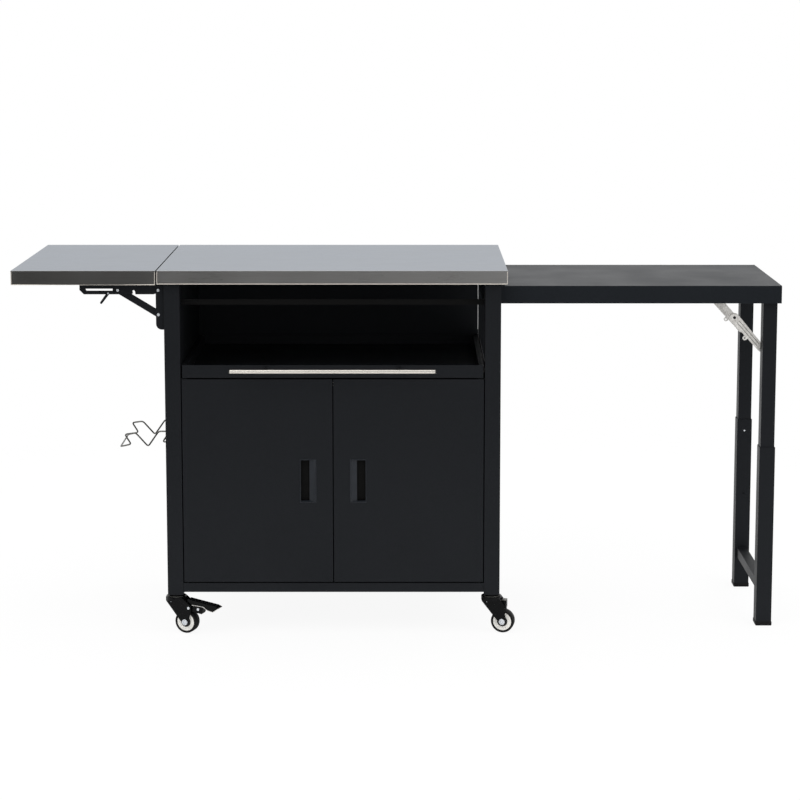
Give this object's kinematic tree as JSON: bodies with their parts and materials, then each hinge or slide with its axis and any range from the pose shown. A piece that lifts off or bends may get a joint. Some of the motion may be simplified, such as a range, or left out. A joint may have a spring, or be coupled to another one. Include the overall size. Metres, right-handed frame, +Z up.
{
  "type": "grill cart",
  "caption": "Grill cart: steel cabinet on casters, stainless worktop, folding side shelf, pull-out table on folding legs, sliding tray, doors and wire rack.",
  "frame": {"origin": "on the floor under the middle of the whole cart's bounding box, wings out", "axes": "+X to the right along the length, from the folding shelf to the pull-out table; +Y to the back; +Z up; the doors face -Y"},
  "size_m": [1.855, 0.56, 0.896],
  "materials": {
    "stainless": "brushed stainless sheet, satin",
    "black_steel": "black powder coat, fine texture",
    "zinc": "bright zinc plate",
    "wire": "plated wire",
    "nylon": "black moulded nylon",
    "rim": "off-white moulded plastic",
    "tyre": "black rubber"
  },
  "bodies": {
    "frame": {"worktop": "stainless", "front_left_post": "black_steel", "front_right_post": "black_steel", "rear_left_post": "black_steel", "rear_right_post": "black_steel", "floor_pan": "black_steel", "left_side_panel": "black_steel", "right_side_panel": "black_steel", "back_panel": "black_steel", "divider_rail": "black_steel", "door_catch": "nylon", "left_tray_runner": "zinc", "right_tray_runner": "zinc", "front_table_rail": "black_steel", "rear_table_rail": "black_steel", "front_bracket_plate": "black_steel", "rear_bracket_plate": "black_steel", "tool_rack": "wire"},
    "sliding_tray": {"tray": "black_steel", "tray_handle": "zinc"},
    "left_door_leaf": {"left_door": "black_steel", "left_door_pull": "nylon"},
    "right_door_leaf": {"right_door": "black_steel", "right_door_pull": "nylon"},
    "folding_shelf": {"side_shelf": "stainless", "front_bracket_arm": "black_steel", "rear_bracket_arm": "black_steel"},
    "shelf_struts": {"front_bracket_strut": "black_steel", "rear_bracket_strut": "black_steel"},
    "shelf_sliders": {"front_bracket_slider": "zinc", "rear_bracket_slider": "zinc"},
    "front_lever": {"front_bracket_lever": "black_steel"},
    "rear_lever": {"rear_bracket_lever": "black_steel"},
    "pull_out_table": {"table_top": "black_steel", "front_table_guide": "nylon", "rear_table_guide": "nylon", "front_leg_hinge": "zinc", "rear_leg_hinge": "zinc"},
    "folding_legs": {"leg_frame": "black_steel"},
    "leg_extension": {"front_leg_sleeve": "black_steel", "rear_leg_sleeve": "black_steel", "leg_crossbar": "black_steel"},
    "upper_braces": {"front_brace_upper": "zinc", "rear_brace_upper": "zinc"},
    "lower_braces": {"front_brace_lower": "zinc", "rear_brace_lower": "zinc"},
    "front_left_swivel": {"front_left_caster_fork": "black_steel"},
    "front_left_wheel": {"front_left_caster_rim": "rim", "front_left_caster_tyre": "tyre"},
    "front_left_pedal": {"front_left_brake_pedal": "black_steel"},
    "front_right_swivel": {"front_right_caster_fork": "black_steel"},
    "front_right_wheel": {"front_right_caster_rim": "rim", "front_right_caster_tyre": "tyre"},
    "rear_left_swivel": {"rear_left_caster_fork": "black_steel"},
    "rear_left_wheel": {"rear_left_caster_rim": "rim", "rear_left_caster_tyre": "tyre"},
    "rear_left_pedal": {"rear_left_brake_pedal": "black_steel"},
    "rear_right_swivel": {"rear_right_caster_fork": "black_steel"},
    "rear_right_wheel": {"rear_right_caster_rim": "rim", "rear_right_caster_tyre": "tyre"}
  },
  "joints": [
    {"name": "tray_slide", "type": "slide", "parent": "frame", "child": "sliding_tray", "axis": [0, -1, 0], "range_m": [0, 0.35]},
    {"name": "left_door_swing", "type": "hinge", "parent": "frame", "child": "left_door_leaf", "pos_m": [-0.5155, -0.24, 0.1285], "axis": [0, 0, -1], "range_deg": [0, 110]},
    {"name": "right_door_swing", "type": "hinge", "parent": "frame", "child": "right_door_leaf", "pos_m": [0.1965, -0.24, 0.1285], "axis": [0, 0, 1], "range_deg": [0, 110]},
    {"name": "shelf_fold", "type": "hinge", "parent": "frame", "child": "folding_shelf", "pos_m": [-0.5785, 0.01, 0.846], "axis": [0, -1, 0], "range_deg": [0, 80]},
    {"name": "strut_swing", "type": "hinge", "parent": "frame", "child": "shelf_struts", "pos_m": [-0.5785, 0.01, 0.7865], "axis": [0, -1, 0], "range_deg": [0, 106.21]},
    {"name": "slider_run", "type": "slide", "parent": "folding_shelf", "child": "shelf_sliders", "axis": [-1, 0, 0], "range_m": [0, 0.07486]},
    {"name": "table_slide", "type": "slide", "parent": "frame", "child": "pull_out_table", "axis": [-1, 0, 0], "range_m": [0, 0.63]},
    {"name": "leg_fold", "type": "hinge", "parent": "pull_out_table", "child": "folding_legs", "pos_m": [0.9028, 0.01, 0.824], "axis": [0, 1, 0], "range_deg": [0, 90]},
    {"name": "leg_telescope", "type": "slide", "parent": "folding_legs", "child": "leg_extension", "axis": [0, 0, 1], "range_m": [0, 0.166]},
    {"name": "upper_brace_swing", "type": "hinge", "parent": "pull_out_table", "child": "upper_braces", "pos_m": [0.7601, 0.01, 0.836], "axis": [0, 1, 0], "range_deg": [0, 131.22]},
    {"name": "lower_brace_swing", "type": "hinge", "parent": "folding_legs", "child": "lower_braces", "pos_m": [0.8884, 0.01, 0.6895], "axis": [0, -1, 0], "range_deg": [0, 140.15]},
    {"name": "front_lever_press", "type": "hinge", "parent": "folding_shelf", "child": "front_lever", "pos_m": [-0.6985, -0.226, 0.8385], "axis": [0, 1, 0], "range_deg": [0, 25], "stiffness_Nm_per_rad": 0.08, "springref_deg": -17.19},
    {"name": "rear_lever_press", "type": "hinge", "parent": "folding_shelf", "child": "rear_lever", "pos_m": [-0.6985, 0.246, 0.8385], "axis": [0, 1, 0], "range_deg": [0, 25], "stiffness_Nm_per_rad": 0.08, "springref_deg": -17.19},
    {"name": "front_left_swivel_turn", "type": "hinge", "parent": "frame", "child": "front_left_swivel", "pos_m": [-0.5455, -0.226, 0.096], "axis": [0, 0, 1], "continuous": true},
    {"name": "front_left_wheel_spin", "type": "hinge", "parent": "front_left_swivel", "child": "front_left_wheel", "pos_m": [-0.51843, -0.23639, 0.0285], "axis": [0.3584, 0.9336, 0], "continuous": true},
    {"name": "front_left_brake_press", "type": "hinge", "parent": "front_left_swivel", "child": "front_left_pedal", "pos_m": [-0.50862, -0.24016, 0.065], "axis": [0.3584, 0.9336, 0], "range_deg": [0, 12]},
    {"name": "front_right_swivel_turn", "type": "hinge", "parent": "frame", "child": "front_right_swivel", "pos_m": [0.2265, -0.226, 0.096], "axis": [0, 0, 1], "continuous": true},
    {"name": "front_right_wheel_spin", "type": "hinge", "parent": "front_right_swivel", "child": "front_right_wheel", "pos_m": [0.25476, -0.23252, 0.0285], "axis": [0.225, 0.9744, 0], "continuous": true},
    {"name": "rear_left_swivel_turn", "type": "hinge", "parent": "frame", "child": "rear_left_swivel", "pos_m": [-0.5455, 0.246, 0.096], "axis": [0, 0, 1], "continuous": true},
    {"name": "rear_left_wheel_spin", "type": "hinge", "parent": "rear_left_swivel", "child": "rear_left_wheel", "pos_m": [-0.51762, 0.23801, 0.0285], "axis": [0.2756, 0.9613, 0], "continuous": true},
    {"name": "rear_left_brake_press", "type": "hinge", "parent": "rear_left_swivel", "child": "rear_left_pedal", "pos_m": [-0.50753, 0.23511, 0.065], "axis": [0.2756, 0.9613, 0], "range_deg": [0, 12]},
    {"name": "rear_right_swivel_turn", "type": "hinge", "parent": "frame", "child": "rear_right_swivel", "pos_m": [0.2265, 0.246, 0.096], "axis": [0, 0, 1], "continuous": true},
    {"name": "rear_right_wheel_spin", "type": "hinge", "parent": "rear_right_swivel", "child": "rear_right_wheel", "pos_m": [0.19824, 0.25252, 0.0285], "axis": [-0.225, -0.9744, 0], "continuous": true}
  ],
  "couplings": [
    {"joint": "strut_swing", "follows": "shelf_fold", "ratio": 1.3276},
    {"joint": "slider_run", "follows": "shelf_fold", "m_per_rad": 0.053607},
    {"joint": "leg_telescope", "follows": "leg_fold", "m_per_rad": 0.10568},
    {"joint": "upper_brace_swing", "follows": "leg_fold", "ratio": 1.4579},
    {"joint": "lower_brace_swing", "follows": "leg_fold", "ratio": 1.5572}
  ]
}
